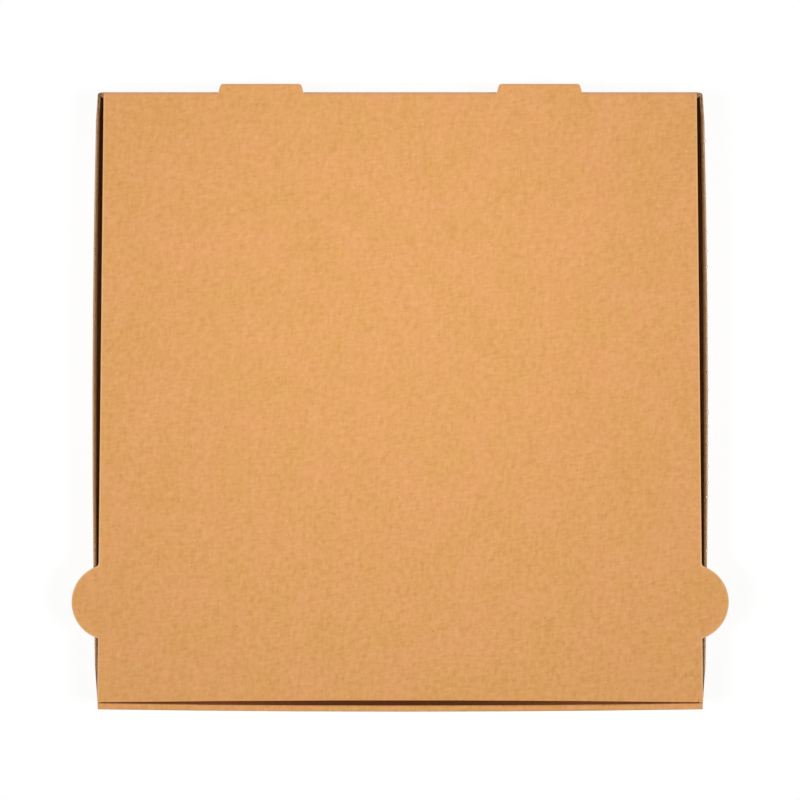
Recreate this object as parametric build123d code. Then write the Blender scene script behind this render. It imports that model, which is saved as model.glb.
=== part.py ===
from build123d import *
import os
from math import radians, sqrt, tan

# A closed pizza box, folded without glue from one die-cut blank of brown fluted board.
# The origin is the middle of the bottom panel's underside, the front is at -Y and +Z is up.
# All sizes are in millimetres.

# The board
board = 1.5               # thickness of the fluted board
paper = 0.25              # one paper face, as it shows at a cut edge
cut_depth = 0.8           # how deep a cut edge is open between its two paper faces
fold_radius = 0.8         # outside radius of a crease
ply_gap = 0.15            # air between two plies that are folded onto each other
swing_gap = 0.3           # air between the lid and the tray that it turns past

# The tray
tray_width = 333.2        # over the side walls, at the corners
tray_depth = 339.6        # over the back and front walls, at the corners
inner_height = 40.0       # from the bottom panel to the lid
side_bow = 2.9            # how far a side wall's cut edge bulges at its middle
rear_shoulder = 0.95      # how far it has already swung out near its rear corner
rear_shoulder_run = 14.0  # from the corner to that point
front_shoulder = 1.5      # and the same near its front corner
front_shoulder_run = 20.0
front_bow = 1.3           # how far the front wall's folded edge bulges at its middle

# The front wall, two plies with a folded top
roll_gap = 0.5            # air between the two plies under the folded top
flare_height = 14.0       # over this height the inner ply swings back to clear the corner flaps
lock_tab_width = 36.0
lock_tab_offset = 90.0    # from the middle of the box to the middle of a lock tab
lock_tab_lift = 0.2       # the lock tabs end this far above the table
slot_gap = 0.25           # air around a lock tab in its slot

# The corner flaps
flap_length = 52.0
flap_lift = 1.0           # their lower edge stands this far above the bottom panel
flap_slope = 5.0          # their top edge falls by this much towards the free end
flap_corner = 8.0         # radius of the two free corners
flap_gap = 3.0            # from a front flap's free end to where the inner ply may swing out

# The lid
lid_length = 335.4        # from the rear fold to the front fold
lid_rear_width = 326.2
lid_front_width = 333.3
lid_front_hollow = 1.0    # the front fold is drawn in by this much at its middle

# The round finger tabs on the lid's sides
ear_radius = 20.9
ear_reach = 14.7          # how far they stand out past the lid's cut edge
ear_setback = 55.0        # from the front fold to the middle of the tab
ear_fillet = 2.4          # where the lid's edge runs into the tab from behind

# The rear tabs, cut out of the back wall and level with the lid
rear_tab_width = 46.8     # at the fold
rear_tab_taper = 1.3      # each side leans in by this much
rear_tab_reach = 4.7      # behind the fold
rear_tab_offset = 76.6    # from the middle of the box to the middle of a tab
rear_tab_corner = 2.0

# The tuck flap on the lid's front fold
tuck_height = 34.0
tuck_inset = 2.5          # from the lid's front corner to the flap's shoulder
tuck_side_slope = 4.0     # each end leans in by this much
tuck_corner = 12.0
tuck_lean = 9.0           # degrees, inwards
tuck_root = 1.0           # the folded edge reaches this far below the lid

# Faces and heights that several panels share
crease = min(fold_radius, 0.9 * board)
half_width = tray_width / 2
wall_inside = half_width - board
back_face = tray_depth / 2
front_face = -tray_depth / 2
lid_under = board + inner_height
lid_top = lid_under + board
rim = lid_under - swing_gap
hinge_y = back_face - board / 2
hinge_z = lid_under + board / 2
flap_foot = board + flap_lift
plies = 2 * board + roll_gap
roll_under = rim - board
inner_ply_half = wall_inside - ply_gap

# A side wall's rear end is folded round the end of the back wall, at 45 degrees
turn = board * sqrt(0.5)
rear_corner_y = back_face - board
rear_flap_face = rear_corner_y - ply_gap
rear_turn_x = wall_inside - 2 * turn - ply_gap
back_wall_half = rear_turn_x - ply_gap

# A side wall's front end is folded in behind the outer ply of the front wall
front_flap_face = front_face + board + ply_gap
front_corner_y = front_flap_face + board
inner_ply_face = front_corner_y + ply_gap
flare_start = roll_under - flare_height

# The lid's own places
lid_front = back_face - lid_length
lid_rear_half = lid_rear_width / 2
lid_front_half = lid_front_width / 2
tuck_half = lid_front_half - tuck_inset
ear_y = lid_front + ear_setback
ear_edge_x = lid_front_half - (lid_front_half - lid_rear_half) * ear_setback / lid_length
ear_x = ear_edge_x + ear_reach - ear_radius


def level_strip(height, edges, across):
    # A level strip: a run of edges, and the same run moved across by a ply's thickness.
    shift = Vector(*across)
    start = edges[0] @ 0
    end = edges[-1] @ 1
    outline = edges + [Line(end, end + shift)]
    outline += [Pos(shift) * edge for edge in reversed(edges)]
    outline.append(Line(start + shift, start))
    return Pos(0, 0, height) * make_face(outline)


def cross_edge(half_length, y, bulge=0):
    # An edge along X, straight or an arc that bulges at its middle.
    start = (-half_length, y)
    end = (half_length, y)
    if bulge == 0:
        return [Line(start, end)]
    return [ThreePointArc(start, (0, y + bulge), end)]


def broken_edge(points, bulge_point=None):
    # Two straight ends and a middle stretch, which is straight or an arc through a point.
    first, second, third, last = points
    if bulge_point is None:
        middle = Line(second, third)
    else:
        middle = ThreePointArc(second, bulge_point, third)
    return [Line(first, second), middle, Line(third, last)]


def straight_side(x):
    return broken_edge([
        (x, front_corner_y), (x, front_corner_y + front_shoulder_run),
        (x, rear_corner_y - rear_shoulder_run), (x, rear_corner_y),
    ])


def bowed_side(x):
    # It swings out at once from each corner's fold, and then curves gently.
    points = [
        (x, front_corner_y), (x + front_shoulder, front_corner_y + front_shoulder_run),
        (x + rear_shoulder, rear_corner_y - rear_shoulder_run), (x, rear_corner_y),
    ]
    return broken_edge(points, (x + side_bow, (front_corner_y + rear_corner_y) / 2))


def cut_slit(profile, low_y):
    # The slit between the paper faces, along the cut edges of a plate that stands in the XZ plane.
    slit = profile - offset(profile, -cut_depth)
    return Pos(0, low_y + board - paper, 0) * extrude(Plane.XZ * slit, amount=board - 2 * paper)


def block(x_range, y_range, z_range):
    size = [high - low for low, high in (x_range, y_range, z_range)]
    middle = [(high + low) / 2 for low, high in (x_range, y_range, z_range)]
    return Pos(*middle) * Box(*size)


def bottom_panel():
    panel = block((-half_width, half_width), (front_face, back_face), (0, board))
    panel = fillet(panel.faces().sort_by(Axis.Z)[0].edges(), crease)
    for side in (-1, 1):
        middle = side * lock_tab_offset
        panel -= block(
            (middle - lock_tab_width / 2 - slot_gap, middle + lock_tab_width / 2 + slot_gap),
            (inner_ply_face - slot_gap, inner_ply_face + board + slot_gap),
            (-board, 2 * board),
        )
    return panel


def rear_tab(margin):
    # Seen square on: the fold lies along X and the tab points to +Y.
    half = rear_tab_width / 2 + margin
    reach = rear_tab_reach + margin
    outline = Polyline(
        (-half, -board), (half, -board), (half, 0), (half - rear_tab_taper, reach),
        (rear_tab_taper - half, reach), (-half, 0), close=True,
    )
    tab = make_face(outline)
    return fillet(tab.vertices().sort_by(Axis.Y)[-2:], rear_tab_corner)


def back_wall():
    # Its top edge is open where the lid's rear tabs were cut out of it.
    wall = block((-back_wall_half, back_wall_half), (back_face - board, back_face), (board, rim))
    upright = Plane(origin=(0, back_face, hinge_z - board / 2), x_dir=(1, 0, 0), z_dir=(0, 1, 0))
    notch = extrude(upright * rear_tab(swing_gap), amount=2 * board, both=True)
    for side in (-1, 1):
        wall -= Pos(side * rear_tab_offset, 0, 0) * notch
    return wall


def corner_flap(root_x, outer_y, top):
    # Its profile runs on past the fold, so that the fold keeps its thickness where the edges are slit.
    past_fold = root_x + flap_corner
    profile = make_face(Polyline(
        (past_fold, flap_foot), (past_fold, top), (root_x, top),
        (root_x - flap_length, top - flap_slope), (root_x - flap_length, flap_foot), close=True,
    ))
    profile = fillet(profile.vertices().sort_by(Axis.X)[:2], flap_corner)
    plate = Pos(0, outer_y, 0) * extrude(Plane.XZ * profile, amount=board)
    plate -= cut_slit(profile, outer_y - board)
    return plate & block((-half_width, root_x), (front_face, back_face), (0, lid_top))


def rear_corner():
    centre = (wall_inside, rear_corner_y)
    arc_end = (wall_inside - turn, rear_corner_y + turn)
    outline = [
        Line(centre, (half_width, rear_corner_y)),
        CenterArc(centre, board, 0, 135),
        Line(arc_end, (rear_turn_x, rear_flap_face)),
        Line((rear_turn_x, rear_flap_face), (rear_turn_x, rear_flap_face - board)),
        Line(
            (rear_turn_x, rear_flap_face - board),
            (wall_inside - board - ply_gap, rear_flap_face - board),
        ),
        Line((wall_inside - board - ply_gap, rear_flap_face - board), centre),
    ]
    fold = extrude(Pos(0, 0, flap_foot) * make_face(outline), amount=rim - flap_foot)
    return fold + corner_flap(rear_turn_x, rear_flap_face, rim)


def front_corner():
    centre = (wall_inside, front_corner_y)
    outline = [
        Line((wall_inside, front_flap_face), centre),
        Line(centre, (half_width, front_corner_y)),
        CenterArc(centre, board, 270, 90),
    ]
    fold = extrude(Pos(0, 0, flap_foot) * make_face(outline), amount=rim - flap_foot)
    return fold + corner_flap(wall_inside, front_corner_y, flare_start - ply_gap)


def side_wall():
    # The right-hand wall: straight where it leaves the bottom panel, bowed along its cut edge.
    wall = loft(
        [
            level_strip(board, straight_side(half_width), (-board, 0)),
            level_strip(rim, bowed_side(half_width), (-board, 0)),
        ],
        ruled=True,
    )
    slit = level_strip(rim - cut_depth, bowed_side(half_width - paper), (2 * paper - board, 0))
    wall -= extrude(slit, amount=2 * cut_depth)
    wall = wall + front_corner() + rear_corner()
    # The front wall's folded top passes over the wall's front end.
    return wall - block(
        (wall_inside - plies, half_width + plies),
        (front_face, front_face + plies + ply_gap),
        (roll_under - ply_gap, lid_top),
    )


def inner_ply():
    # It hangs from the folded top. Between the corner flaps nothing holds it off the outer ply.
    across = (0, board)
    free_half = wall_inside - flap_length - flap_gap
    top_y = front_face + plies - board - ply_gap
    top_middle = top_y - front_bow
    share = flare_height / (roll_under - board)
    low_middle = top_middle + (inner_ply_face - top_middle) * share
    ends = [-inner_ply_half, -free_half, free_half, inner_ply_half]
    straight = broken_edge([(x, inner_ply_face) for x in ends])
    lowered = broken_edge([(x, inner_ply_face) for x in ends], (0, low_middle))
    bend = front_bow * (1 - (free_half / inner_ply_half) ** 2)
    bends = [0, bend, bend, 0]
    top_points = [(x, top_y - out) for x, out in zip(ends, bends)]
    top = broken_edge(top_points, (0, top_middle))
    foot = level_strip(board + ply_gap, straight, across)
    knee = level_strip(flare_start, lowered, across)
    return loft([foot, knee, level_strip(roll_under, top, across)], ruled=True)


def front_wall():
    across = (0, board)
    outer_ply = loft(
        [
            level_strip(board, cross_edge(half_width, front_face), across),
            level_strip(roll_under, cross_edge(half_width, front_face, -front_bow), across),
        ],
        ruled=True,
    )
    roll = level_strip(roll_under, cross_edge(half_width, front_face, -front_bow), (0, plies))
    folded_top = extrude(roll, amount=board)
    top_edges = folded_top.faces().sort_by(Axis.Z)[-1].edges().sort_by(SortBy.LENGTH)[-2:]
    folded_top = fillet(top_edges, crease)

    wall = outer_ply + folded_top + inner_ply()
    slit_low_y = front_face + paper
    slit_high_y = front_face + board - paper
    for side in (-1, 1):
        end_x = (side * half_width - cut_depth, side * half_width + cut_depth)
        wall -= block(end_x, (slit_low_y, slit_high_y), (board, rim - board / 2))
        wall -= block(
            end_x,
            (slit_low_y, front_face + plies - crease),
            (roll_under + paper, rim - paper - crease / 2),
        )
        middle = side * lock_tab_offset
        wall += block(
            (middle - lock_tab_width / 2, middle + lock_tab_width / 2),
            (inner_ply_face, inner_ply_face + board),
            (lock_tab_lift, board + ply_gap),
        )
    return wall


def make_tray():
    right = side_wall()
    return bottom_panel() + back_wall() + right + mirror(right, Plane.YZ) + front_wall()


def lid_outline():
    panel = make_face([
        Line((-lid_rear_half, hinge_y), (-lid_front_half, lid_front)),
        Line((-lid_front_half, lid_front), (-tuck_half, lid_front)),
        *cross_edge(tuck_half, lid_front, lid_front_hollow),
        Line((tuck_half, lid_front), (lid_front_half, lid_front)),
        Line((lid_front_half, lid_front), (lid_rear_half, hinge_y)),
        Line((lid_rear_half, hinge_y), (-lid_rear_half, hinge_y)),
    ])
    half_chord = sqrt(ear_radius ** 2 - (ear_edge_x - ear_x) ** 2)
    for side in (-1, 1):
        panel += Pos(side * ear_x, ear_y) * Circle(ear_radius)
        meeting = Vector(side * ear_edge_x, ear_y + half_chord)
        corner = panel.vertices().sort_by_distance(meeting)[0]
        panel = fillet(corner, ear_fillet)
        panel += Pos(side * rear_tab_offset, back_face) * rear_tab(0)
    return panel


def open_edges(outline):
    # The slit between the paper faces along the cut edges, but not at the two folds.
    slit = outline - offset(outline, -cut_depth)
    slit -= Pos(0, hinge_y) * Rectangle(2 * half_width, board)
    slit -= Pos(0, hinge_y - board) * Rectangle(2 * half_width, board)
    slit -= Pos(0, lid_front) * Rectangle(2 * (tuck_half + cut_depth), 4 * board)
    return extrude(Pos(0, 0, lid_under + paper) * slit, amount=board - 2 * paper)


def tuck_flap():
    root_z = lid_under - tuck_root
    front = cross_edge(tuck_half, lid_front, lid_front_hollow)
    root = extrude(level_strip(root_z, front, (0, board)), amount=lid_top - root_z)
    fold_edge = root.faces().sort_by(Axis.Z)[-1].edges().sort_by(Axis.Y)[0]
    root = fillet(fold_edge, crease)

    # The flap hangs from the root, and its two paper faces stand off a slit core at its cut edges.
    tip_z = lid_top - tuck_height
    tip_y = lid_front + (root_z - tip_z) * tan(radians(tuck_lean))
    slabs = []
    for inset in (0, paper):
        across = (0, board - 2 * inset)
        tip = level_strip(tip_z, cross_edge(tuck_half, tip_y + inset), across)
        top = level_strip(root_z, cross_edge(tuck_half, lid_front + inset, lid_front_hollow), across)
        slabs.append(loft([tip, top], ruled=True))
    tip_half = tuck_half - tuck_side_slope
    profile = make_face(Polyline(
        (-tuck_half, lid_top), (tuck_half, lid_top), (tuck_half, root_z),
        (tip_half, tip_z), (-tip_half, tip_z), (-tuck_half, root_z), close=True,
    ))
    profile = fillet(profile.vertices().sort_by(Axis.Y)[:2], tuck_corner)
    slit = profile - offset(profile, -cut_depth)
    flap = slabs[0] & extrude(Plane.XZ * profile, amount=tray_depth, both=True)
    flap -= slabs[1] & extrude(Plane.XZ * slit, amount=tray_depth, both=True)
    return root + flap


def make_lid():
    outline = lid_outline()
    fold_strip = level_strip(0, cross_edge(tuck_half, lid_front, lid_front_hollow), (0, board))
    panel = extrude(Pos(0, 0, lid_under) * (outline - fold_strip), amount=board)
    rear_fold = Pos(0, hinge_y, hinge_z) * Rot(0, 90, 0) * Cylinder(board / 2, lid_rear_width)
    return panel - open_edges(outline) + rear_fold + tuck_flap()


os.makedirs("parts", exist_ok=True)
export_step(make_tray(), "parts/tray.step")
export_step(make_lid(), "parts/lid.step")
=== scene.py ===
import random
from functools import partial
from math import acos, atan2, cos, pi, radians, sin, sqrt, tan

import bmesh
import bpy
from mathutils import Matrix, Vector


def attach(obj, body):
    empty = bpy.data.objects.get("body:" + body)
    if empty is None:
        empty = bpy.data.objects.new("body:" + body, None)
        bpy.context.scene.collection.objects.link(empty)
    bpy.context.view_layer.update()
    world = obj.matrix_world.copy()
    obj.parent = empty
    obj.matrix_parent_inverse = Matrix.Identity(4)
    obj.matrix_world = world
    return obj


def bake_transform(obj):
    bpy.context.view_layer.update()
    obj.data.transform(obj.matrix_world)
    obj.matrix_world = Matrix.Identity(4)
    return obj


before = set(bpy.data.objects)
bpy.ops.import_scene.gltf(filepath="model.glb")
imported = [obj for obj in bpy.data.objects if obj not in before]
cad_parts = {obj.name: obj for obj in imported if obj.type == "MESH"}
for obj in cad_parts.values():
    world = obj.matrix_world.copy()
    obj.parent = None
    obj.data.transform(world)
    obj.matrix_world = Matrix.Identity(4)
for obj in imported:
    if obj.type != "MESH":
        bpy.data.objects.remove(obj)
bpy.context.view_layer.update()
print("frame loaded:", ", ".join(sorted(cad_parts)))

mm = 0.001  # sizes in the dictionaries are millimetres, unless a note says otherwise

# The board, as the solids have it
board = {
    "thickness": 1.5,
    "paper": 0.25,        # one paper face, as it shows at a cut edge
    "cutDepth": 0.8,      # how deep a cut edge is open between its two faces
    "flutePitch": 3.3,    # from crest to crest of the wavy core
    "perFlute": 8,        # points along each wave
    "coreSheet": 0.17,    # thickness of the core's own paper
    "coreSunk": 0.04,     # how far the core's edge lies below the faces' edges
    "coreFoot": 0.02,     # and how far it stays off the cut's floor
}

# Where the box's folds and edges are
box = {
    "halfWidth": 166.6,
    "frontCorner": -166.65,
    "rearCorner": 168.3,
    "frontFace": -169.8,
    "backFace": 169.8,
    "rim": 41.2,
    "lidUnder": 41.5,
    "lidTop": 43.0,
    "lidFront": -165.6,
    "lidHalfFront": 166.65,
    "lidHalfRear": 163.1,
    "hingeY": 169.05,
    "hingeZ": 42.25,
}
lidMiddle = (box["lidUnder"] + box["lidTop"]) / 2

fingerTab = {"radius": 20.9, "x": 159.87, "y": -110.6, "fillet": 2.4, "steps": 90, "filletSteps": 8}
rearTab = {"offset": 76.6, "half": 23.4, "taper": 1.3, "reach": 4.7, "corner": 2.0, "steps": 6}

# How far the side walls' cut edges stand out past the corners: straight near each, with an arc between
sideBulge = {"middle": 2.9, "rear": 0.95, "rearRun": 14.0, "front": 1.5, "frontRun": 20.0}
bulgeMiddle = (box["frontCorner"] + box["rearCorner"]) / 2
bulgeFront = box["frontCorner"] + sideBulge["frontRun"] - bulgeMiddle
bulgeRear = box["rearCorner"] - sideBulge["rearRun"] - bulgeMiddle
frontRise = (sideBulge["front"] - sideBulge["middle"]) / bulgeFront
rearRise = (sideBulge["rear"] - sideBulge["middle"]) / bulgeRear
bulgeCurve = (rearRise - frontRise) / (bulgeRear - bulgeFront)


def sideBow(y):
    along = y - bulgeMiddle
    if along < bulgeFront:
        return sideBulge["front"] * (y - box["frontCorner"]) / sideBulge["frontRun"]
    if along > bulgeRear:
        return sideBulge["rear"] * (box["rearCorner"] - y) / sideBulge["rearRun"]
    return sideBulge["middle"] + along * (frontRise + bulgeCurve * (along - bulgeFront))


def lidHalf(y):
    # Half the lid's width, which tapers a little to the rear
    share = (box["hingeY"] - y) / (box["hingeY"] - box["lidFront"])
    return box["lidHalfRear"] + (box["lidHalfFront"] - box["lidHalfRear"]) * share


def srgb(code):
    # An sRGB hex value as the linear colour that a shader wants
    parts = [int(code[i:i + 2], 16) / 255 for i in (1, 3, 5)]
    linear = [c / 12.92 if c <= 0.04045 else ((c + 0.055) / 1.055) ** 2.4 for c in parts]
    return (*linear, 1)


def addNode(tree, kind, inputs=(), stops=(), **settings):
    # One node. Its inputs, in order or by name, are values or the node or socket that is linked in,
    # and its stops are a colour ramp's places and hex values
    node = tree.nodes.new("ShaderNode" + kind)
    for name, value in settings.items():
        setattr(node, name, value)
    pairs = inputs.items() if isinstance(inputs, dict) else enumerate(inputs)
    for name, value in pairs:
        source = value.outputs[0] if isinstance(value, bpy.types.Node) else value
        if isinstance(source, bpy.types.NodeSocket):
            tree.links.new(source, node.inputs[name])
        else:
            node.inputs[name].default_value = source
    if len(stops) > 2:
        node.color_ramp.elements.new(0.5)
    for i, (position, code) in enumerate(stops):
        node.color_ramp.elements[i].position = position
        node.color_ramp.elements[i].color = srgb(code)
    return node


def newMaterial(name):
    # An empty material, and addNode for its own tree
    material = bpy.data.materials.new(name)
    material.use_nodes = True
    material.node_tree.nodes.clear()
    return material, partial(addNode, material.node_tree)


def finishPaper(add, colour, normal, roughness):
    # Paper is felted and soft, so its gloss is weak
    shader = add("BsdfPrincipled", {"Base Color": colour, "Normal": normal, "Roughness": roughness,
                                    "IOR": 1.5, "Specular IOR Level": 0.25})
    add("OutputMaterial", {"Surface": shader})


def allOf(add, *masks):
    # A mask that holds where all of them do, or one made fainter by a share
    joined = masks[0]
    for mask in masks[1:]:
        joined = add("Math", (joined, mask), operation="MULTIPLY")
    return joined


def anyOf(add, *masks):
    # A mask that holds where at least one of them does
    joined = masks[0]
    for mask in masks[1:]:
        joined = add("Math", (joined, mask), operation="MAXIMUM")
    return joined


def between(add, value, low, high):
    # A mask that holds where a distance lies between two numbers of millimetres
    above = add("Math", (value, low * mm), operation="GREATER_THAN")
    return allOf(add, above, add("Math", (value, high * mm), operation="LESS_THAN"))


def layTints(add, colour, tints):
    # Tints over a colour, one after the other, each with the share of it that shows.
    # A Mix node takes the share and two colours at 0, 6 and 7, and gives its colour at 2
    for tint, share in tints:
        colour = add("Mix", {0: share, 6: colour, 7: tint}, data_type="RGBA").outputs[2]
    return colour


def stretchedNoise(add, place, lengths, detail=2.0, roughness=0.5, turn=0):
    # Noise whose patches are about as long as the three lengths, in millimetres, turned about Z
    turned = add("Mapping", {"Vector": place, "Rotation": (0, 0, radians(turn)),
                             "Scale": [length * mm for length in lengths]}, vector_type="TEXTURE")
    return add("TexNoise", {"Vector": turned, "Scale": 1.0, "Detail": detail, "Roughness": roughness})


def sparseDots(add, place, look):
    # Round specks in a share of the cells of a loose grid: dark ones in some, pale ones in others
    cells = add("TexVoronoi", {"Vector": place, "Scale": 1 / (look["speckSpacing"] * mm)}, feature="F1")
    steepness = -look["speckEdge"] * look["speckSpacing"] / look["speckRadius"]
    near = add("Math", (cells, steepness, look["speckEdge"]), operation="MULTIPLY_ADD")
    dot = add("Clamp", (near,))
    pick = add("SeparateColor", (cells.outputs["Color"],))
    dark = add("Math", (pick, look["darkSpecks"]), operation="LESS_THAN")
    pale = add("Math", (pick, 1 - look["paleSpecks"]), operation="GREATER_THAN")
    return allOf(add, dot, dark), allOf(add, dot, pale)


print("materials")
# Marks in the lid's solid, each just off a face, that tell its edges apart
lidMark = {
    "panelFront": -165.4,
    "panelRear": 168.2,
    "rimRear": 169.0,
    "behindWall": 169.9,
    "tuckTop": 40.0,
    "underside": 41.45,
    "upperHalf": 42.2,
    "topFace": 42.9,
    "highlightWidth": 0.8,
    "highlightSlack": 0.1,
    "tabBand": 1.1,
    "besideTab": 0.5,
    "steep": 0.3,             # parts of a face's normal, which tell the way it faces
    "sideways": 0.7,
    "downward": -0.55,
}


def lidEdges(add, place, normal):
    # The cut edges of the lid, and the painted highlight that runs along them on its top
    x, y, z = place
    width = add("Math", (x,), operation="ABSOLUTE")
    upright = add("Math", (normal[2],), operation="ABSOLUTE")
    steep = add("Math", (upright, lidMark["steep"]), operation="LESS_THAN")
    facing = add("Math", (normal[0],), operation="ABSOLUTE")
    sideways = add("Math", (facing, lidMark["sideways"]), operation="GREATER_THAN")
    high = add("Math", (z, lidMark["underside"] * mm), operation="GREATER_THAN")
    panel = between(add, y, lidMark["panelFront"], lidMark["panelRear"])
    tabs = add("Math", (y, lidMark["behindWall"] * mm), operation="GREATER_THAN")
    ahead = add("Math", (y, lidMark["behindWall"] * mm), operation="LESS_THAN")
    ends = allOf(add, sideways, ahead)
    raw = allOf(add, steep, high, anyOf(add, panel, tabs, ends))

    low = add("Math", (z, lidMark["tuckTop"] * mm), operation="LESS_THAN")
    downward = add("Math", (normal[2], lidMark["downward"]), operation="LESS_THAN")
    tuck = allOf(add, low, anyOf(add, sideways, downward))

    edge = add("Math", (y, lidHalf(1) - lidHalf(0), lidHalf(0) * mm), operation="MULTIPLY_ADD")
    inPanel = add("Math", (edge, width), operation="SUBTRACT")
    point = add("CombineXYZ", {"X": width, "Y": y})
    tabMiddle = (fingerTab["x"] * mm, fingerTab["y"] * mm, 0)
    away = add("VectorMath", (point, tabMiddle), operation="DISTANCE").outputs["Value"]
    inTab = add("Math", (fingerTab["radius"] * mm, away), operation="SUBTRACT")
    inside = add("Math", (inPanel, inTab), operation="MAXIMUM")
    # A painted highlight on the top face, along the side edges and round the finger tabs
    top = add("Math", (z, lidMark["topFace"] * mm), operation="GREATER_THAN")
    beforeFold = add("Math", (y, lidMark["rimRear"] * mm), operation="LESS_THAN")
    alongEdge = between(add, inside, -lidMark["highlightSlack"], lidMark["highlightWidth"])
    rim = allOf(add, alongEdge, top, beforeFold)

    # A darker, redder band along the rear fold and the tabs' tips: crushed liner, with painted shade where
    # the fold rounds over
    fromMiddle = add("Math", (width, rearTab["offset"] * mm), operation="SUBTRACT")
    fromTab = add("Math", (fromMiddle,), operation="ABSOLUTE")
    clearOfTab = (rearTab["half"] + lidMark["besideTab"]) * mm
    beside = add("Math", (fromTab, clearOfTab), operation="GREATER_THAN")
    fold = allOf(add, between(add, y, lidMark["panelRear"], lidMark["behindWall"]), beside)
    tabTip = (box["backFace"] + rearTab["reach"] - lidMark["tabBand"]) * mm
    tip = add("Math", (y, tabTip), operation="GREATER_THAN")
    upper = add("Math", (z, lidMark["upperHalf"] * mm), operation="GREATER_THAN")
    band = allOf(add, anyOf(add, fold, tip), upper)
    return {"raw": anyOf(add, raw, tuck), "rim": rim, "band": band}


# Marks of the same kind in the tray's solid
trayMark = {
    "bottomTop": 1.6,
    "midHeight": 20.0,
    "frontPlies": -166.8,
    "behindRoll": -166.2,
    "rearFlaps": 166.6,
    "rearFlapRoot": 163.0,
    "wallInner": 1.7,          # the side wall's inner face, in from its outer one
    "innerLiner": 1.15,
    "outerLiner": 0.65,
    "level": 0.9,              # parts of a face's normal
    "sideways": 0.9,
}


def outwardness(add, place):
    # Across a side wall's cut edge, from -1 at its inner liner to 1 at its outer one. The edge
    # follows sideBow's arc
    x, y, z = place
    width = add("Math", (x,), operation="ABSOLUTE")
    along = add("Math", (y, 1 / mm, -bulgeMiddle), operation="MULTIPLY_ADD")
    lift = add("Math", (along, bulgeCurve, frontRise - bulgeCurve * bulgeFront), operation="MULTIPLY_ADD")
    bow = add("Math", (along, lift, sideBulge["middle"] + box["halfWidth"]), operation="MULTIPLY_ADD")
    reach = add("Math", (width, 1 / mm), operation="MULTIPLY")
    outside = add("Math", (reach, bow), operation="SUBTRACT")
    wall = add("Math", (outside, -trayMark["wallInner"]), operation="GREATER_THAN")
    across = add("MapRange", {"Value": outside, "From Min": -trayMark["innerLiner"],
                              "From Max": -trayMark["outerLiner"], "To Min": -1.0, "To Max": 1.0},
                 interpolation_type="SMOOTHSTEP")
    return allOf(add, wall, across)


def trayEdges(add, place, normal):
    # The cut edges along the tops of the walls and flaps. The side walls' outer liner stands pale and frayed
    # there, made paler with painted light against the cut's shade, and their inner liner is darkened with
    # painted shade under the lid
    x, y, z = place
    level = add("Math", (normal[2], trayMark["level"]), operation="GREATER_THAN")
    high = add("Math", (z, trayMark["midHeight"] * mm), operation="GREATER_THAN")
    behindRoll = add("Math", (y, trayMark["behindRoll"] * mm), operation="GREATER_THAN")
    tops = allOf(add, level, high, behindRoll)

    facing = add("Math", (normal[0],), operation="ABSOLUTE")
    sideways = add("Math", (facing, trayMark["sideways"]), operation="GREATER_THAN")
    offBottom = add("Math", (z, trayMark["bottomTop"] * mm), operation="GREATER_THAN")
    frontPlies = add("Math", (y, trayMark["frontPlies"] * mm), operation="LESS_THAN")
    atRear = add("Math", (y, trayMark["rearFlaps"] * mm), operation="GREATER_THAN")
    width = add("Math", (x,), operation="ABSOLUTE")
    withinRoots = add("Math", (width, trayMark["rearFlapRoot"] * mm), operation="LESS_THAN")
    rearFlaps = allOf(add, atRear, withinRoots)
    ends = allOf(add, sideways, offBottom, anyOf(add, frontPlies, rearFlaps))
    return {"raw": anyOf(add, tops, ends), "outward": outwardness(add, place)}


kraft = {
    "pale": "#F2B675",
    "middle": "#E9A866",
    "deep": "#DA9853",
    "yellow": "#E0AA62",       # the hue wanders between these two over a few centimetres
    "red": "#E8A26E",
    "hueShare": 0.30,
    "hueSwing": 4.0,           # how strongly the clouds turn the hue, and from where
    "hueStart": -1.5,
    "darkSpeck": "#A56D38",
    "paleSpeck": "#F8D2A0",
    "darkSpecks": 0.12,        # the share of places that have a dark speck, and a pale one
    "paleSpecks": 0.5,
    "darkSpeckShare": 0.6,     # and how strongly each shows
    "paleSpeckShare": 0.5,
    "speckSpacing": 3.6,
    "speckRadius": 0.42,
    "speckEdge": 2.5,          # the higher, the harder a speck's outline
    "edge": "#AE8C66",         # raw board, cut through: greyer than the liner
    "edgePale": "#CCB08A",
    "edgeDark": "#8A6A46",
    "outerFrayedAndLitFace": "#E8C5A0",    # the torn top of the outer liner on the side walls: pale, and paler still with painted light against the shade of the cut
    "outerFrayedAndLitShare": 0.9,
    "innerFace": "#7C5E3C",    # painted shade: the inner liner's top, darkened where the lid shades it
    "innerShadeShare": 0.6,
    "rim": "#F2C795",          # painted highlight: a pale line on the lid's top along its cut edges
    "rimShare": 0.45,
    "band": "#DDA073",         # darker and redder along the hinge's fold and the rear tabs' tips: liner crushed by the creasing rule, with painted shade where the fold rounds over
    "bandShare": 0.6,
    "roughness": 0.88,
    "fibreLong": 6.5,          # single fibres are too thin to show, so these are streaks of many
    "fibreWide": 1.3,
    "fibreTurns": (9, -7),     # degrees off the two ways of the sheet
    "fibreTone": 0.75,         # what streaks, clouds and mottle each add to the light and dark
    "mottle": 2.9,
    "mottleTone": 1.25,
    "mottleTurn": 31,
    "cloud": 24.0,
    "cloudTone": 0.45,
    "toneStart": 1.1,          # the sum of the three at which the colour is deepest
    "bump": 0.09,              # how high the mottle and the flutes stand
    "washboard": 0.010,
    "relief": 0.6,
    "frontFacing": 0.7,        # the front and back walls look along Y by more than this
}


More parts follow.
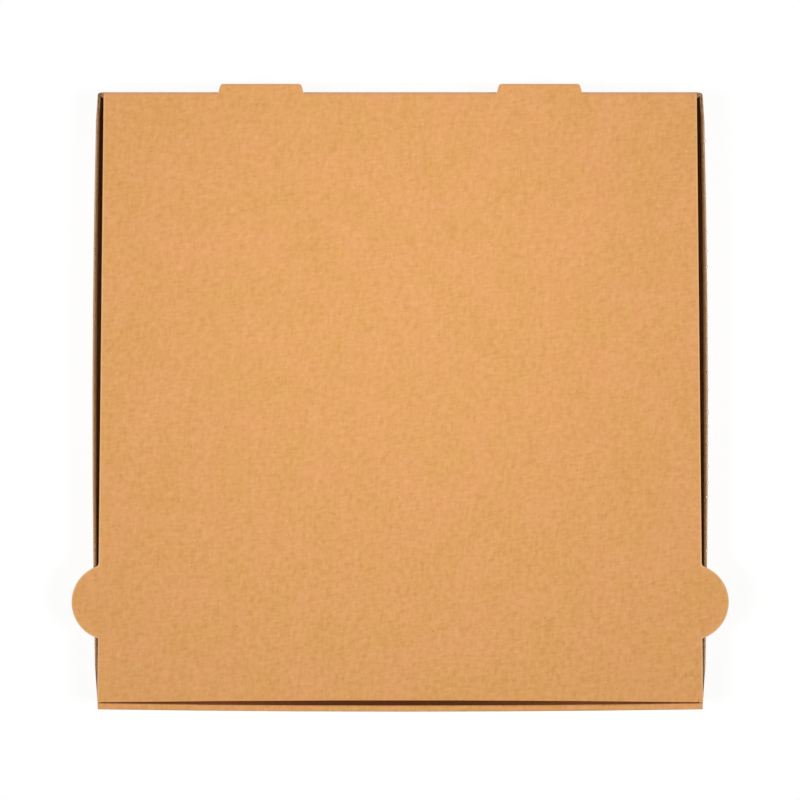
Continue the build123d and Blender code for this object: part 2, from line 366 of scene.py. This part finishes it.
def kraftLiner(name, look, findEdges=None):
    # Brown kraft liner, wet-laid and left uncoated: matt, with long fibres both ways, clouds and specks,
    # and a washboard so faint that only raking light shows it
    material, add = newMaterial(name)
    source = add("TexCoord")
    place = source.outputs["Object"]
    axes = add("SeparateXYZ", (place,)).outputs
    normal = add("SeparateXYZ", (source.outputs["Normal"],)).outputs
    edges = findEdges(add, axes, normal) if findEdges else {}

    long = look["fibreLong"]
    wide = look["fibreWide"]
    alongX = stretchedNoise(add, place, (long, wide, wide), detail=1, turn=look["fibreTurns"][0])
    alongY = stretchedNoise(add, place, (wide, long, long), detail=1, turn=look["fibreTurns"][1])
    mottle = stretchedNoise(add, place, [look["mottle"]] * 3, roughness=0.6, turn=look["mottleTurn"])
    cloud = stretchedNoise(add, place, [look["cloud"]] * 3, roughness=0.6)
    fibres = add("Math", (alongX, alongY), operation="ADD")
    tone = add("Math", (cloud, look["cloudTone"]), operation="MULTIPLY")
    tone = add("Math", (fibres, look["fibreTone"], tone), operation="MULTIPLY_ADD")
    tone = add("Math", (mottle, look["mottleTone"], tone), operation="MULTIPLY_ADD")
    tone = add("Math", (tone, look["toneStart"]), operation="SUBTRACT")
    shade = add("ValToRGB", (tone,),
                stops=((0.0, look["deep"]), (0.5, look["middle"]), (1.0, look["pale"])))

    wander = add("Math", (cloud, look["hueSwing"], look["hueStart"]), operation="MULTIPLY_ADD")
    hue = layTints(add, srgb(look["yellow"]), [(srgb(look["red"]), wander)])
    dark, pale = sparseDots(add, place, look)
    tints = [(hue, look["hueShare"]),
             (srgb(look["darkSpeck"]), allOf(add, dark, look["darkSpeckShare"])),
             (srgb(look["paleSpeck"]), allOf(add, pale, look["paleSpeckShare"]))]
    for mark in ("rim", "band"):
        if mark in edges:
            tints.append((srgb(look[mark]), allOf(add, edges[mark], look[mark + "Share"])))
    if "raw" in edges:
        cut = add("ValToRGB", (mottle,),
                  stops=((0.3, look["edgeDark"]), (0.5, look["edge"]), (0.72, look["edgePale"])))
        if "outward" in edges:
            # Outward, the cut edge is paled: the torn outer liner's own tone, with painted light against the
            # cut's shade
            frayed = add("Math", (edges["outward"], 0.0), operation="MAXIMUM")
            # Inward, the cut edge is darkened with painted shade where the lid shades it
            inward = add("Math", (edges["outward"], -1.0), operation="MULTIPLY")
            shaded = add("Math", (inward, 0.0), operation="MAXIMUM")
            cut = layTints(add, cut, [(srgb(look["outerFrayedAndLitFace"]), allOf(add, frayed, look["outerFrayedAndLitShare"])),
                                      (srgb(look["innerFace"]), allOf(add, shaded, look["innerShadeShare"]))])
        tints.append((cut, edges["raw"]))
    colour = layTints(add, shade, tints)

    # The flutes run along X, except in the side walls, whose flutes stand upright
    facing = add("Math", (normal[1],), operation="ABSOLUTE")
    frontOrBack = add("Math", (facing, look["frontFacing"]), operation="GREATER_THAN")
    across = add("Mix", {0: frontOrBack, 2: axes[1], 3: axes[2]})  # sockets 2 and 3 take numbers
    turns = add("Math", (across, 2 * pi / (board["flutePitch"] * mm)), operation="MULTIPLY")
    flutes = add("Math", (turns,), operation="SINE")
    waves = add("Math", (flutes, look["washboard"]), operation="MULTIPLY")
    height = add("Math", (mottle, look["bump"], waves), operation="MULTIPLY_ADD")
    bump = add("Bump", {"Strength": look["relief"], "Distance": mm, "Height": height})
    finishPaper(add, colour, bump, look["roughness"])
    return material


lidKraft = kraftLiner("lidKraftLiner", kraft, lidEdges)
trayKraft = kraftLiner("trayKraftLiner", kraft, trayEdges)
crushed = {**kraft, "pale": "#EFB57F", "middle": "#E3A46C", "deep": "#D3945C"}  # a little darker and redder: the liner stretched round the fold, with painted shade where it rounds over
creaseKraft = kraftLiner("creasedKraftLiner", crushed)
for name, material in (("lid", lidKraft), ("tray", trayKraft)):
    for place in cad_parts[name].material_slots:
        place.material = material

coreLook = {
    "deep": "#6F5636",
    "middle": "#94764D",
    "pale": "#B99A6C",
    "frayed": "#E3BE9A",
    "frayedShare": 0.75,
    "roughness": 0.95,
    "grain": 0.9,
    "relief": 0.7,
    "fluff": 0.1,       # height of the loose fibres
}


def flutedCore(name, look, onWall=False):
    # The core's recycled paper, steamed and pressed into waves: greyer and rougher than the liner,
    # and pale with loose fibres towards the outer side of the side walls
    material, add = newMaterial(name)
    place = add("TexCoord").outputs["Object"]
    grain = stretchedNoise(add, place, [look["grain"]] * 3, detail=3, roughness=0.7)
    colour = add("ValToRGB", (grain,),
                 stops=((0.25, look["deep"]), (0.5, look["middle"]), (0.8, look["pale"])))
    if onWall:
        axes = add("SeparateXYZ", (place,)).outputs
        frayed = add("Math", (outwardness(add, axes), 0.0), operation="MAXIMUM")
        colour = layTints(add, colour, [(srgb(look["frayed"]), allOf(add, frayed, look["frayedShare"]))])
    bump = add("Bump", {"Strength": look["relief"], "Distance": look["fluff"] * mm, "Height": grain})
    finishPaper(add, colour, bump, look["roughness"])
    return material


corePaper = flutedCore("flutedCore", coreLook)
wallCorePaper = flutedCore("frayedFlutedCore", coreLook, onWall=True)

tornLook = {
    "pale": "#FDF4E4",
    "middle": "#F1DBBB",
    "roughness": 0.95,
    "grain": 0.35,
    "relief": 0.5,
    "fluff": 0.1,
}


def tornFibre(name, look):
    # Torn liner: the fibres stand up loose and catch the light, so it is nearly cream
    material, add = newMaterial(name)
    place = add("TexCoord").outputs["Object"]
    grain = stretchedNoise(add, place, [look["grain"]] * 3, roughness=0.6)
    colour = layTints(add, srgb(look["middle"]), [(srgb(look["pale"]), grain)])
    bump = add("Bump", {"Strength": look["relief"], "Distance": look["fluff"] * mm, "Height": grain})
    finishPaper(add, colour, bump, look["roughness"])
    return material


tornPaper = tornFibre("tornFibre", tornLook)


def finishPiece(name, mesh, material, body=None):
    # A mesh as a shaded object in millimetres turned to metres, riding on a body
    bmesh.ops.scale(mesh, vec=(mm, mm, mm), verts=mesh.verts)
    bmesh.ops.recalc_face_normals(mesh, faces=mesh.faces)
    data = bpy.data.meshes.new(name)
    mesh.to_mesh(data)
    mesh.free()
    data.materials.append(material)
    for face in data.polygons:
        face.use_smooth = True
    piece = bpy.data.objects.new(name, data)
    bpy.context.scene.collection.objects.link(piece)
    if body:
        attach(piece, body)
    return piece


def thicken(piece, thickness):
    # Paper with half its thickness to each side of the mesh
    wall = piece.modifiers.new("paper", "SOLIDIFY")
    wall.thickness = thickness * mm
    wall.offset = 0


def walkRoute(points, step):
    # Points a step apart along straight runs
    spaced = [points[0]]
    for a, b in zip(points, points[1:]):
        count = max(1, round((b - a).length / step))
        spaced += [a.lerp(b, i / count) for i in range(1, count + 1)]
    return spaced


def arcPoints(centre, radius, start, end, count):
    # Points on an arc in a plane, from one angle to another
    angles = [start + (end - start) * i / count for i in range(count + 1)]
    return [(centre[0] + radius * cos(a), centre[1] + radius * sin(a)) for a in angles]


def turnedAlong(points, axis, flip):
    # Directions at right angles to a route and to an axis
    found = []
    for i in range(len(points)):
        along = points[min(i + 1, len(points) - 1)] - points[max(i - 1, 0)]
        found.append(axis.cross(along).normalized() * flip)
    return found


waveStep = board["flutePitch"] / board["perFlute"]


def coreRibbon(name, body, points, inward, sway, phase, paper=corePaper):
    # The wavy core in a cut edge. At each point it runs inward and sways between the two paper faces
    clear = board["thickness"] - 2 * board["paper"]
    reach = (clear - board["coreSheet"]) / 2
    run = board["cutDepth"] - board["coreFoot"] - board["coreSunk"]
    mesh = bmesh.new()
    count = len(points) - 1
    bmesh.ops.create_grid(mesh, x_segments=count, y_segments=1, size=0.5)
    for corner in mesh.verts:
        i = round((corner.co.x + 0.5) * count)
        depth = board["coreSunk"] + run * (corner.co.y + 0.5)
        wave = reach * sin(2 * pi * phase[i] / board["flutePitch"])
        corner.co = points[i] + inward[i] * depth + sway[i] * wave
    piece = finishPiece(name, mesh, paper, body)
    thicken(piece, board["coreSheet"])
    return piece


print("core in the lid's cut edges")
lidCore = {"rearY": 166.8, "frontEnd": 165.1}


def lidRoute():
    # The right-hand cut edge, from the rear fold to the front fold, round the finger tab
    tab = fingerTab
    filletX = lidHalf(tab["y"] + tab["radius"]) + tab["fillet"]
    rise = sqrt((tab["radius"] + tab["fillet"]) ** 2 - (filletX - tab["x"]) ** 2)
    meeting = atan2(rise, filletX - tab["x"])
    leaving = -acos((lidHalf(tab["y"] - tab["radius"]) - tab["x"]) / tab["radius"])
    route = [(lidHalf(lidCore["rearY"]), lidCore["rearY"])]
    route += arcPoints((filletX, tab["y"] + rise), tab["fillet"], pi, pi + meeting, tab["filletSteps"])
    route += arcPoints((tab["x"], tab["y"]), tab["radius"], meeting, leaving, tab["steps"])[1:]
    route += [(box["lidHalfFront"], box["lidFront"]), (lidCore["frontEnd"], box["lidFront"])]
    return route


up = Vector((0, 0, 1))
for side, word in ((1, "right"), (-1, "left")):
    stations = walkRoute([Vector((side * x, y, lidMiddle)) for x, y in lidRoute()], waveStep)
    coreRibbon("lid_core_" + word, "lid", stations, turnedAlong(stations, up, -side),
               [up] * len(stations), [p.y for p in stations])


def rearTabRoute():
    # From one root of a rear tab, round its two corners, to the other root
    tab = rearTab
    tip = box["backFace"] + tab["reach"]
    tipHalf = tab["half"] - tab["taper"]
    centre = (tipHalf - tab["corner"], tip - tab["corner"])
    right = [(tab["half"], box["backFace"])]
    right += arcPoints(centre, tab["corner"], 0, pi / 2, tab["steps"])
    return right + [(-x, y) for x, y in reversed(right)]


for side, word in ((1, "right"), (-1, "left")):
    corners = [Vector((side * rearTab["offset"] + x, y, lidMiddle)) for x, y in rearTabRoute()]
    stations = walkRoute(corners, waveStep)
    coreRibbon("rear_tab_core_" + word, "lid", stations, turnedAlong(stations, up, 1),
               [up] * len(stations), [p.y for p in stations])

print("core in the tuck flap's cut edge")
tuckFlap = {
    "half": 164.15,
    "rootZ": 40.5,
    "tipZ": 9.0,
    "sideSlope": 4.0,
    "corner": 12.0,
    "steps": 12,
    "lean": 9.0,          # degrees, rearwards
    "startIn": 0.1,       # where the core starts, in from the flap's end and down from its root
    "startDown": 0.8,
}


def tuckRoute():
    # Seen square on: down one end, round the corner and along the tip, then up the other end
    flap = tuckFlap
    tipHalf = flap["half"] - flap["sideSlope"]
    drop = flap["rootZ"] - flap["tipZ"]
    tilt = atan2(flap["sideSlope"], drop)
    reach = flap["corner"] * tan((pi / 2 - tilt) / 2)
    centre = (tipHalf - reach, flap["tipZ"] + flap["corner"])
    right = [(flap["half"] - flap["startIn"], flap["rootZ"] - flap["startDown"])]
    right += arcPoints(centre, flap["corner"], -tilt, -pi / 2, flap["steps"])
    return right + [(-x, z) for x, z in reversed(right)]


lean = tan(radians(tuckFlap["lean"]))
corners = [Vector((x, box["lidFront"] + (tuckFlap["rootZ"] - z) * lean + board["thickness"] / 2, z))
           for x, z in tuckRoute()]
stations = walkRoute(corners, waveStep)
forward = Vector((0, 1, 0))
coreRibbon("tuck_flap_core", "lid", stations, turnedAlong(stations, forward, 1),
           [forward] * len(stations), [p.z for p in stations])

print("core in the walls' cut edges")
wallCore = {"frontY": -165.9, "inset": 0.75}
for side, word in ((1, "right"), (-1, "left")):
    length = box["rearCorner"] - wallCore["frontY"]
    count = round(length / waveStep)
    rows = [wallCore["frontY"] + length * i / count for i in range(count + 1)]
    middles = [box["halfWidth"] - wallCore["inset"] + sideBow(y) for y in rows]
    stations = [Vector((side * x, y, box["rim"])) for x, y in zip(middles, rows)]
    coreRibbon("side_wall_core_" + word, "tray", stations, [-up] * len(stations),
               [Vector((1, 0, 0))] * len(stations), rows, wallCorePaper)

frontCore = {"footZ": 1.7, "turn": 0.6, "steps": 5, "rollReach": 2.4}
for side, word in ((1, "right"), (-1, "left")):
    x = side * box["halfWidth"]
    y = box["frontFace"] + board["thickness"] / 2
    roll = box["rim"] - board["thickness"] / 2
    turn = frontCore["turn"]
    bend = arcPoints((y + turn, roll - turn), turn, pi, pi / 2, frontCore["steps"])
    corners = [Vector((x, y, frontCore["footZ"]))] + [Vector((x, *p)) for p in bend]
    corners.append(Vector((x, box["frontFace"] + frontCore["rollReach"], roll)))
    stations = walkRoute(corners, waveStep)
    lengths = [0.0]
    for a, b in zip(stations, stations[1:]):
        lengths.append(lengths[-1] + (b - a).length)
    inward = Vector((-side, 0, 0))
    coreRibbon("front_wall_core_" + word, "tray", stations, [inward] * len(stations),
               turnedAlong(stations, inward, 1), lengths)

rearFlap = {
    "rootX": 162.83,
    "middleY": 167.4,
    "top": 41.2,
    "length": 52.0,
    "slope": 5.0,
    "foot": 2.5,
    "corner": 8.0,
    "steps": 8,
    "startIn": 0.6,       # how far from its fold the core starts
}


def rearFlapRoute():
    # Seen square on: along the top from the fold, down the free end and back along the foot
    flap = rearFlap
    endX = flap["rootX"] - flap["length"]
    startX = flap["rootX"] - flap["startIn"]
    slope = flap["slope"] / flap["length"]
    tilt = atan2(flap["slope"], flap["length"])
    run = flap["corner"] * tan((pi / 2 - tilt) / 2)
    topCentre = (endX + flap["corner"], flap["top"] - flap["slope"] - run)
    footCentre = (endX + flap["corner"], flap["foot"] + flap["corner"])
    route = [(startX, flap["top"] - slope * flap["startIn"])]
    route += arcPoints(topCentre, flap["corner"], pi / 2 + tilt, pi, flap["steps"])
    route += arcPoints(footCentre, flap["corner"], pi, 1.5 * pi, flap["steps"])
    return route + [(startX, flap["foot"])]


for side, word in ((1, "right"), (-1, "left")):
    corners = [Vector((side * x, rearFlap["middleY"], z)) for x, z in rearFlapRoute()]
    stations = walkRoute(corners, waveStep)
    coreRibbon("rear_flap_core_" + word, "tray", stations, turnedAlong(stations, forward, -side),
               [forward] * len(stations), [p.x for p in stations])

print("torn fibres on the side walls")
torn = {
    "every": 9.9,         # three flutes apart, where the cutting rule has its nicks
    "stray": 2.0,
    "long": 1.7,
    "wide": 1.15,
    "high": 0.36,
    "sides": 7,
    "foot": 0.5,          # radii at the foot and the top, before the tuft is scaled
    "tip": 0.22,
    "ragged": 0.12,
    "inset": 0.22,
    "lift": 0.02,
    "fromFront": 3,
    "fromRear": 2,
    "seed": 7,
}


def tornNicks(name, side, least, most):
    # Little tufts on the outer liner's edge, each of its own size
    chance = random.Random(torn["seed"] + side)
    mesh = bmesh.new()
    y = wallCore["frontY"] + torn["fromFront"]
    while y < box["rearCorner"] - torn["fromRear"]:
        size = chance.uniform(least, most)
        tuft = bmesh.ops.create_cone(mesh, cap_ends=True, segments=torn["sides"], radius1=torn["foot"],
                                     radius2=torn["tip"], depth=1.0)
        parts = tuft["verts"]
        for corner in parts:
            corner.co.x += chance.uniform(-torn["ragged"], torn["ragged"])
            corner.co.y += chance.uniform(-torn["ragged"], torn["ragged"])
        bmesh.ops.scale(mesh, vec=(torn["wide"] * size, torn["long"] * size, torn["high"]), verts=parts)
        spot = y + chance.uniform(-torn["stray"], torn["stray"])
        outside = box["halfWidth"] + sideBow(spot) - torn["inset"] * size
        bmesh.ops.translate(mesh, vec=(side * outside, spot, box["rim"] + torn["lift"]), verts=parts)
        y += torn["every"]
    return finishPiece(name, mesh, tornPaper, "tray")


tornNicks("torn_nicks_right", 1, 0.6, 1.3)
tornNicks("torn_nicks_left", -1, 0.25, 0.6)

print("creases of the hinge")
hinge = {
    "sheet": 0.14,
    "foot": 39.6,          # where the strips start on the back wall
    "proud": 0.05,         # how far a strip's middle stands off the board
    "over": 72.0,          # degrees round the fold to where the outer strip dives into the lid
    "dive": 0.70,
    "steps": 8,            # along each part of the outer strip
    "innerStep": 0.3,      # the inner strip up the wall, round the corner and along the lid
    "innerRound": 0.6,
    "innerSteps": 8,
    "wallRows": 5,
    "ceilingRows": 2,
    "ceilingStep": 0.25,
    "outerBend": ((0.8, -0.8), (0.25, 0.72)),      # back and up from the fold
    "innerBend": ((0.1, -0.75), (-0.75, 0.1)),     # and from the corner under it
    "column": 8.0,         # each strip is divided about this often along the fold
    "spans": ((-163.9, -100.4), (-52.8, 52.8), (100.4, 163.9)),
    "innerSpans": ((-162.3, -100.4), (-52.8, 52.8), (100.4, 162.3)),
}


def creaseStrip(name, profile, span, start, end):
    # A strip of liner along the fold, which bends from the back wall to the lid
    mesh = bmesh.new()
    count = len(profile) - 1
    columns = round((span[1] - span[0]) / hinge["column"])
    bmesh.ops.create_grid(mesh, x_segments=columns, y_segments=count, size=0.5)
    for corner in mesh.verts:
        y, z = profile[round((corner.co.y + 0.5) * count)]
        corner.co = Vector((span[0] + (span[1] - span[0]) * (corner.co.x + 0.5), y, z))
    piece = finishPiece(name, mesh, creaseKraft)
    thicken(piece, hinge["sheet"])
    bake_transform(piece)
    return piece


axis = (box["hingeY"], box["hingeZ"])
standing = board["thickness"] / 2 + hinge["proud"]
over = radians(hinge["over"])
steps = hinge["steps"]
outerProfile = [(axis[0] + standing, hinge["foot"] + (axis[1] - hinge["foot"]) * i / steps)
                for i in range(steps + 1)]
for i in range(1, steps + 1):
    share = i / steps
    radius = standing + (hinge["dive"] - standing) * share ** 3
    outerProfile.append((axis[0] + radius * cos(over * share), axis[1] + radius * sin(over * share)))
innerFace = box["rearCorner"] - hinge["proud"]
ceiling = box["lidUnder"] - hinge["proud"]
cornerY = innerFace - hinge["innerRound"]
cornerZ = ceiling - hinge["innerRound"]
innerProfile = [(innerFace, hinge["foot"] + hinge["innerStep"] * i) for i in range(hinge["wallRows"])]
innerProfile += arcPoints((cornerY, cornerZ), hinge["innerRound"], 0, pi / 2, hinge["innerSteps"])
innerProfile += [(cornerY - hinge["ceilingStep"] * (i + 1), ceiling) for i in range(hinge["ceilingRows"])]

# For each kind of strip, a point on the back wall below the fold and one on the lid beyond it
outerBend = [Vector((0, axis[0] + y, axis[1] + z)) * mm for y, z in hinge["outerBend"]]
innerBend = [Vector((0, innerFace + y, ceiling + z)) * mm for y, z in hinge["innerBend"]]
for i, span in enumerate(hinge["spans"]):
    creaseStrip("hinge_crease_outer_" + str(i + 1), outerProfile, span, *outerBend)
for i, span in enumerate(hinge["innerSpans"]):
    creaseStrip("hinge_crease_inner_" + str(i + 1), innerProfile, span, *innerBend)

# The fold is as wide as the back wall, so it runs on past the lid's own corners as a crushed roll of board
hingeEnd = {"from": 162.6, "to": 164.7, "segments": 32, "round": 0.3, "roundSteps": 3}
for side, word in ((1, "right"), (-1, "left")):
    mesh = bmesh.new()
    length = hingeEnd["to"] - hingeEnd["from"]
    turned = Matrix.Rotation(pi / 2, 4, "Y")
    middle = Matrix.Translation((side * (hingeEnd["from"] + length / 2), box["hingeY"], box["hingeZ"]))
    bmesh.ops.create_cone(mesh, cap_ends=True, segments=hingeEnd["segments"], radius1=board["thickness"] / 2,
                          radius2=board["thickness"] / 2, depth=length, matrix=middle @ turned)
    rims = [edge for edge in mesh.edges if any(len(face.verts) > 4 for face in edge.link_faces)]
    bmesh.ops.bevel(mesh, geom=rims, offset=hingeEnd["round"], offset_type="OFFSET",
                    segments=hingeEnd["roundSteps"], profile=0.5, affect="EDGES", material=-1)
    finishPiece("hinge_end_" + word, mesh, corePaper, "lid")

print("floor, light and camera")
# Size and drop in metres
stage = {"size": 6.0, "drop": 0.0002, "glowShare": 0.86, "glow": 1.05, "paper": "#F0F0F0"}


def whiteSweep(name):
    # A white paper sweep: white to the camera, and it still takes the object's shadow
    material, add = newMaterial(name)
    path = add("LightPath").outputs
    seen = anyOf(add, path["Is Camera Ray"], path["Is Glossy Ray"], path["Is Transmission Ray"])
    paper = add("BsdfDiffuse", {"Color": srgb(stage["paper"])})
    glow = add("Emission", {"Strength": stage["glow"]})
    add("OutputMaterial", {"Surface": add("MixShader", (allOf(add, seen, stage["glowShare"]), paper, glow))})
    return material


floorMesh = bmesh.new()
bmesh.ops.create_grid(floorMesh, x_segments=1, y_segments=1, size=stage["size"] / 2)
bmesh.ops.translate(floorMesh, vec=(0, 0, -stage["drop"]), verts=floorMesh.verts)
floorData = bpy.data.meshes.new("floor")
floorMesh.to_mesh(floorData)
floorMesh.free()
floorData.materials.append(whiteSweep("whiteSweep"))
floor = bpy.data.objects.new("floor", floorData)
bpy.context.scene.collection.objects.link(floor)

# Metres and watts
light = {
    "softX": 0.9,          # a softbox to each side, so the gaps beside the lid stay dark
    "softY": -0.22,        # in front of the box, for the same in the gap behind the front wall
    "softHeight": 2.3,
    "softSize": 0.5,
    "softPower": 22.2,
    "poolY": 0.085,        # the photograph is lightest a little behind the middle
    "poolHeight": 3.6,
    "poolRadius": 0.34,
    "poolPower": 140.0,
    "poolSoft": 0.2,
    "ambient": 0.15,
}


def hangLamp(name, kind, place, power):
    # A lamp above the box, shining straight down and out of the camera's sight
    lamp = bpy.data.lights.new(name, kind)
    lamp.energy = power
    holder = bpy.data.objects.new(name, lamp)
    holder.location = place
    holder.visible_camera = False
    bpy.context.scene.collection.objects.link(holder)
    return lamp


for side, word in ((1, "Right"), (-1, "Left")):
    place = (side * light["softX"], light["softY"], light["softHeight"])
    softbox = hangLamp("softbox" + word, "AREA", place, light["softPower"])
    softbox.shape = "SQUARE"
    softbox.size = light["softSize"]
pool = hangLamp("pool", "SPOT", (0, light["poolY"], light["poolHeight"]), light["poolPower"])
pool.spot_size = 2 * atan2(light["poolRadius"], light["poolHeight"] - box["lidTop"] * mm)
pool.spot_blend = 1.0
pool.shadow_soft_size = light["poolSoft"]

# The world is white to the camera, and lights the box at the ambient level
world = bpy.data.worlds.new("studio")
world.use_nodes = True
world.node_tree.nodes.clear()
add = partial(addNode, world.node_tree)
plain = add("Background", {"Strength": light["ambient"]})
white = add("Background", {"Color": srgb("#FFFFFF"), "Strength": 1.0})
seen = add("LightPath").outputs["Is Camera Ray"]
add("OutputWorld", {"Surface": add("MixShader", (seen, plain, white))})
bpy.context.scene.world = world

# Metres, apart from the sensor's millimetres
shot = {"frame": 0.440, "distance": 1.6, "aimX": -0.0001, "aimY": 0.0006, "sensor": 36.0}
camera = bpy.data.cameras.new("camera")
camera.sensor_width = shot["sensor"]
camera.lens = shot["sensor"] * shot["distance"] / shot["frame"]
viewer = bpy.data.objects.new("camera", camera)
viewer.location = (shot["aimX"], shot["aimY"], box["lidTop"] * mm + shot["distance"])
bpy.context.scene.collection.objects.link(viewer)
bpy.context.scene.camera = viewer
bpy.context.scene.view_settings.view_transform = "Standard"
